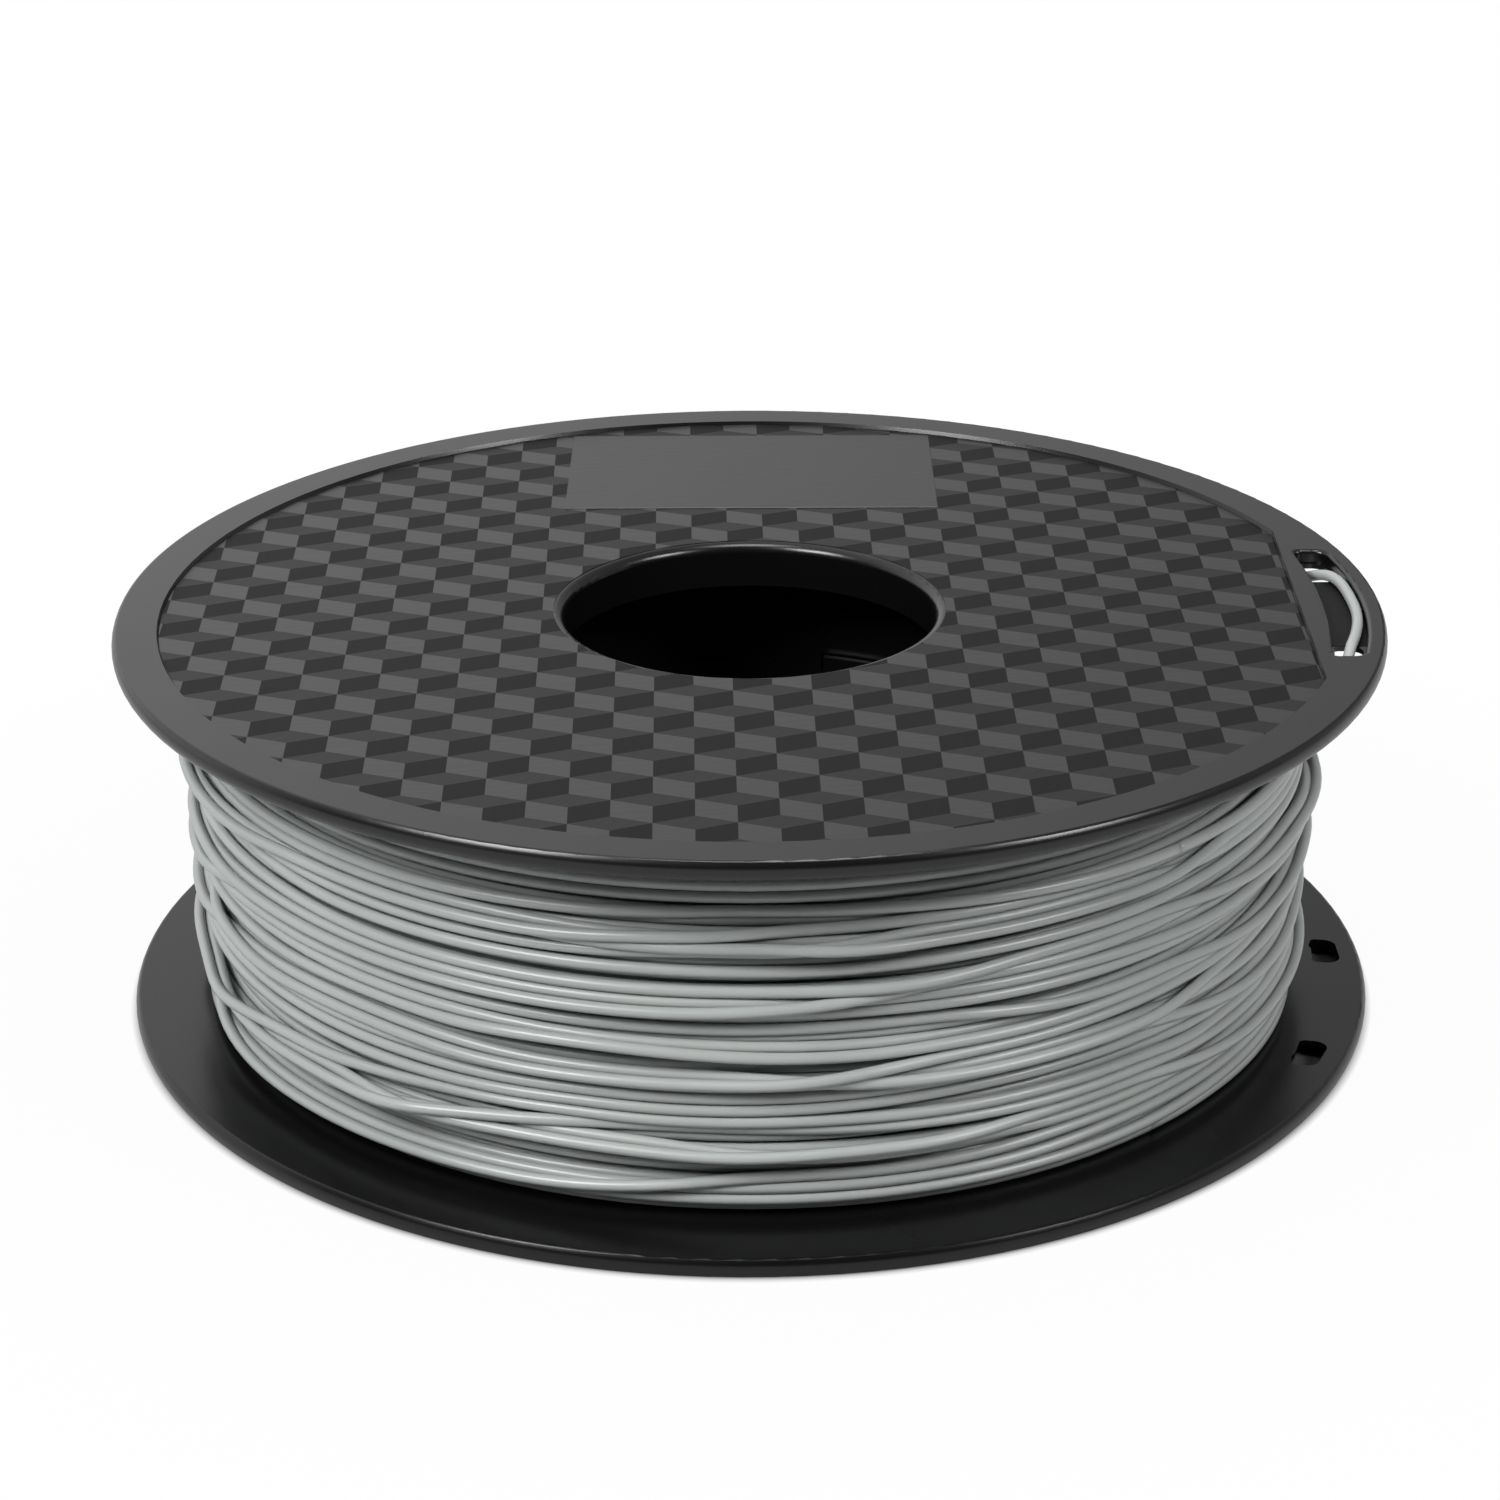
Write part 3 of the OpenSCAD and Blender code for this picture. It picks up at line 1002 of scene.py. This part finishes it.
    def pieces(self, finish: bpy.types.Material) -> list[bpy.types.Object]:
        """Makes the winding's pieces.

        Args:
            finish: The filament's material.

        Returns:
            The core, the layer under the outer turns, and the outer turns.
        """
        self.wind()
        start = self.under_turns * self.steps
        end = len(self.radius) - 1
        diameter = self.sizes.filament_d
        under = tube_mesh("wound_under_layer", self.path(0, start, stride=2), diameter, self.under_sides)
        outer = tube_mesh("wound_outer_layer", self.path(start, end, stride=1), diameter, self.outer_sides)
        return [new_object("wound_core", self.core(), [finish]),
                new_object("wound_under_layer", under, [finish]),
                new_object("wound_outer_layer", outer, [finish])]


@dataclass
class LacedEnd:
    """The free end: off the winding, up through the near eye, along the slot, down the far eye."""

    sizes: SpoolSizes
    sides: int = 16
    fine: int = 6

    def route(self) -> list[Point]:
        """Lists the route's points.

        Returns:
            Points in millimetres, the same as the solid's.
        """
        sizes = self.sizes
        start, end = sizes.eye_start_deg, sizes.eye_end_deg
        rub, level = sizes.tail_rub_r, sizes.tail_slot_z

        def out(share: float) -> float:
            """Radius from the winding, at 0, to the slot's middle line, at 1."""
            return sizes.tail_lay_r + share * (sizes.slot_mid_r - sizes.tail_lay_r)

        def down(share: float) -> float:
            """Height from the flange, at 0, down to where the end leaves the winding, at 1."""
            return sizes.under_z - share * sizes.leave_drop

        def eye(share: float) -> float:
            """Angle from an eye's start, at 0, to its end, at 1."""
            return start + share * (end - start)

        stops = (
            (-end - sizes.leave_before_eye_deg, out(0), down(1)), (-end - 27, out(0), down(1)),
            (-end - 22, out(0.01), down(0.99)), (-end - 18, out(0.06), down(0.94)),
            (-end - 14, out(0.2), down(0.81)), (-end - 10, out(0.4), down(0.63)),
            (-end - 6, out(0.65), down(0.44)), (-end - 2.5, out(0.87), down(0.25)),
            (-eye(0.87), out(1.02), down(0.08)), (-eye(0.45), out(1.07), level - 1.1),
            (-eye(0.2), out(1.12), level - 0.25), (-0.95 * start, rub - 1.1, level),
            (-0.75 * start, rub - 0.75, level), (-0.5 * start, rub - 0.35, level),
            (-0.25 * start, rub - 0.1, level), (0, rub, level), (0.25 * start, rub, level),
            (0.5 * start, rub, level), (0.73 * start, rub - 0.05, level),
            (0.89 * start, rub - 0.35, level), (start, rub - 0.9, level),
            (eye(0.22), out(1.08), level - 0.45), (eye(0.43), out(0.95), level - 1.2),
            (eye(0.64), out(0.87), level - 2), (eye(0.85), out(0.81), level - 2.8),
            (eye(1.04), out(0.74), level - 3.6),
        )
        return [(r * math.cos(math.radians(angle)), r * math.sin(math.radians(angle)), z)
                for angle, r, z in stops]

    def smooth_route(self) -> np.ndarray:
        """Runs one smooth curve through the route's points.

        Returns:
            The curve's points in millimetres.
        """
        stops = np.array(self.route())
        padded = np.vstack([2 * stops[0] - stops[1], stops, 2 * stops[-1] - stops[-2]])
        out = []
        for k in range(1, len(padded) - 2):
            a, b, c, d = padded[k - 1:k + 3]
            for step in range(self.fine):
                t = step / self.fine
                out.append(0.5 * (2 * b + (c - a) * t + (2 * a - 5 * b + 4 * c - d) * t ** 2
                                  + (3 * b - a - 3 * c + d) * t ** 3))
        out.append(stops[-1])
        return np.array(out)

    def piece(self, finish: bpy.types.Material) -> bpy.types.Object:
        """Makes the free end.

        Args:
            finish: The filament's material.

        Returns:
            The piece.
        """
        mesh = tube_mesh("laced_end", self.smooth_route(), self.sizes.filament_d, self.sides)
        return new_object("laced_end", mesh, [finish])


@dataclass
class Studio:
    """Camera, floor, world and lamps. Lengths are in millimetres, except those of the lamps."""

    focal_px: float = 3970.66
    aim_z: float = 39.36
    distance: float = 638.05
    elevation_deg: float = 22.669
    roll_rad: float = -0.00375
    floor_radius: float = 3000.0
    floor_sides: int = 96
    room_light: float = 0.04
    shade_share: float = 0.42
    backdrop_light: float = 1.0
    backdrop_edge: tuple[float, float] = (-0.35, 0.25)
    right_share: float = 0.35
    right_edge: tuple[float, float] = (-0.3, 0.35)

    def camera(self) -> bpy.types.Object:
        """Sets the camera at its viewing angle.

        Returns:
            The camera.
        """
        data = bpy.data.cameras.new("camera")
        data.sensor_width = SENSOR_MM
        data.lens = self.focal_px / IMAGE_PX * SENSOR_MM
        camera = bpy.data.objects.new("camera", data)
        bpy.context.scene.collection.objects.link(camera)
        aim = Vector((0, 0, self.aim_z * MM))
        rise = math.radians(self.elevation_deg)
        back = Vector((0, -math.cos(rise), math.sin(rise)))
        look = (-back).to_track_quat("-Z", "Y").to_matrix().to_4x4()
        camera.matrix_world = (Matrix.Translation(aim + back * self.distance * MM) @ look
                               @ Matrix.Rotation(self.roll_rad, 4, "Z"))
        bpy.context.scene.camera = camera
        return camera

    def floor(self) -> bpy.types.Object:
        """Lays the white paper that the spool stands on.

        Returns:
            The floor.
        """
        built = bmesh.new()
        bmesh.ops.create_circle(built, cap_ends=True, segments=self.floor_sides,
                                radius=self.floor_radius * MM)
        mesh = bpy.data.meshes.new("floor")
        built.to_mesh(mesh)
        built.free()
        floor = new_object("floor", mesh, [StudioPaper().material()])
        return floor

    def world(self) -> None:
        """Sets the surround: a pale backdrop behind the spool and a dim room before it.

        The eye sees white all round. Gloss mirrors the room, which is duller on the right,
        and matt faces get less of its light.
        """
        world = bpy.data.worlds.new("studio")
        world.use_nodes = True
        tree = world.node_tree
        tree.nodes.clear()
        way = add_node(tree, "ShaderNodeSeparateXYZ", None,
                       {"Vector": add_node(tree, "ShaderNodeTexCoord").outputs["Generated"]})
        depth = add_node(tree, "ShaderNodeMapRange",
                         {"interpolation_type": "SMOOTHSTEP", "From Min": self.backdrop_edge[0],
                          "From Max": self.backdrop_edge[1], "To Min": self.room_light,
                          "To Max": self.backdrop_light},
                         {"Value": way.outputs["Y"]})
        side = add_node(tree, "ShaderNodeMapRange",
                        {"interpolation_type": "SMOOTHSTEP", "From Min": self.right_edge[0],
                         "From Max": self.right_edge[1], "To Min": 1.0, "To Max": self.right_share},
                        {"Value": way.outputs["X"]})
        room = add_node(tree, "ShaderNodeMath", {"operation": "MULTIPLY"},
                        {0: depth.outputs["Result"], 1: side.outputs["Result"]})
        path = add_node(tree, "ShaderNodeLightPath")
        share = add_node(tree, "ShaderNodeMapRange", {"To Min": self.shade_share, "To Max": 1.0},
                         {"Value": path.outputs["Is Glossy Ray"]})
        lit = add_node(tree, "ShaderNodeMath", {"operation": "MULTIPLY"},
                       {0: room.outputs[0], 1: share.outputs["Result"]})
        seen = add_node(tree, "ShaderNodeMath", {"operation": "MAXIMUM"},
                        {0: path.outputs["Is Camera Ray"], 1: path.outputs["Is Transmission Ray"]})
        strength = add_node(tree, "ShaderNodeMath", {"operation": "MAXIMUM"},
                            {0: seen.outputs[0], 1: lit.outputs[0]})
        shade = add_node(tree, "ShaderNodeBackground", {"Color": linear("#ffffff")},
                         {"Strength": strength.outputs[0]})
        output = add_node(tree, "ShaderNodeOutputWorld")
        tree.links.new(shade.outputs["Background"], output.inputs["Surface"])
        bpy.context.scene.world = world

    def lamp(self, name: str, azimuth_deg: float, elevation_deg: float, distance: float,
             size: float, watts: float) -> None:
        """Hangs one soft box that faces the spool.

        Args:
            name: The lamp's name.
            azimuth_deg: Where it hangs round the spool; 0 is in front and 90 is to the right.
            elevation_deg: Its angle above the floor.
            distance: Its distance in metres.
            size: Its side in metres.
            watts: Its power.
        """
        data = bpy.data.lights.new(name, "AREA")
        data.size = size
        data.energy = watts
        lamp = bpy.data.objects.new(name, data)
        bpy.context.scene.collection.objects.link(lamp)
        turn, rise = math.radians(azimuth_deg), math.radians(elevation_deg)
        level = math.cos(rise)
        toward = Vector((math.sin(turn) * level, -math.cos(turn) * level, math.sin(rise)))
        lamp.location = toward * distance
        lamp.rotation_euler = toward.to_track_quat("Z", "Y").to_euler()

    def build(self) -> None:
        """Sets up the whole studio."""
        self.camera()
        self.floor()
        self.world()
        self.lamp("key", azimuth_deg=-47, elevation_deg=41, distance=1.2, size=0.45, watts=13.8)
        self.lamp("fill", azimuth_deg=58, elevation_deg=36, distance=1.4, size=0.4, watts=9.8)
        self.lamp("top", azimuth_deg=0, elevation_deg=80, distance=1.3, size=0.5, watts=7)
        bpy.context.scene.view_settings.view_transform = "Standard"


def register(piece: bpy.types.Object) -> None:
    """Makes a piece ride on the spool.

    Args:
        piece: The piece.
    """
    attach(piece, "root")
    log.info("%s: %d faces", piece.name, len(piece.data.polygons))


def main() -> None:
    """Builds the studio, dresses the halves, and adds the faces and the filament."""
    logging.basicConfig(level=logging.INFO, format="%(name)s: %(message)s")
    Studio().build()
    sizes = SpoolSizes()
    # The lower half is the same moulding with less specular: painted shade, as it stands in the upper
    # flange's shade.
    for node, specular in (("upper_half", 0.5), ("lower_half", 0.36)):
        black = MouldedPlastic(f"moulded_{node}", colour="#080808", cloud_colour="#0b0b0b",
                               roughness=0.27, specular=specular, grain_mm=0.5, grain_depth_mm=0.0025)
        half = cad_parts[node]
        half.data.materials.clear()
        half.data.materials.append(black.material())
        log.info("%s dressed", node)
    # Each tile is the same black with its own colour, streak colour and specular level: painted sheen for
    # its stroke direction.
    tiles = {
        Tile.LIGHT: EtchedTile("etched_light", colour="#0e0e0e", streak_sheen_colour="#191919",
                               roughness=0.36, specular=0.62, stroke_angle_deg=8.0),
        Tile.DARK: EtchedTile("etched_dark", colour="#0a0a0a", streak_sheen_colour="#101010",
                              roughness=0.55, specular=0.15, stroke_angle_deg=100.0),
        Tile.TOP: EtchedTile("etched_top", colour="#0b0b0b", streak_sheen_colour="#151515",
                             roughness=0.48, specular=0.27, stroke_angle_deg=55.0),
    }
    tile_finishes = {tile: finish.material() for tile, finish in tiles.items()}
    panel = FacePanel(sizes)
    for flange in Flange:
        register(panel.tiles(flange, tile_finishes))
        # The pad takes the light tile's finish, painted sheen included.
        register(panel.pad(flange, tile_finishes[Tile.LIGHT]))
        # The slot's floor gets a dark sheet in the dark tile's finish: painted shade for the recess.
        register(panel.slot_shade_sheet(flange, tile_finishes[Tile.DARK]))
    filament = ExtrudedFilament().material()
    for piece in WoundStrand(sizes).pieces(filament):
        register(piece)
        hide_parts("filament_winding")
    end = LacedEnd(sizes).piece(filament)
    register(end)
    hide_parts("filament_tail")


if __name__ == "__main__":
    main()
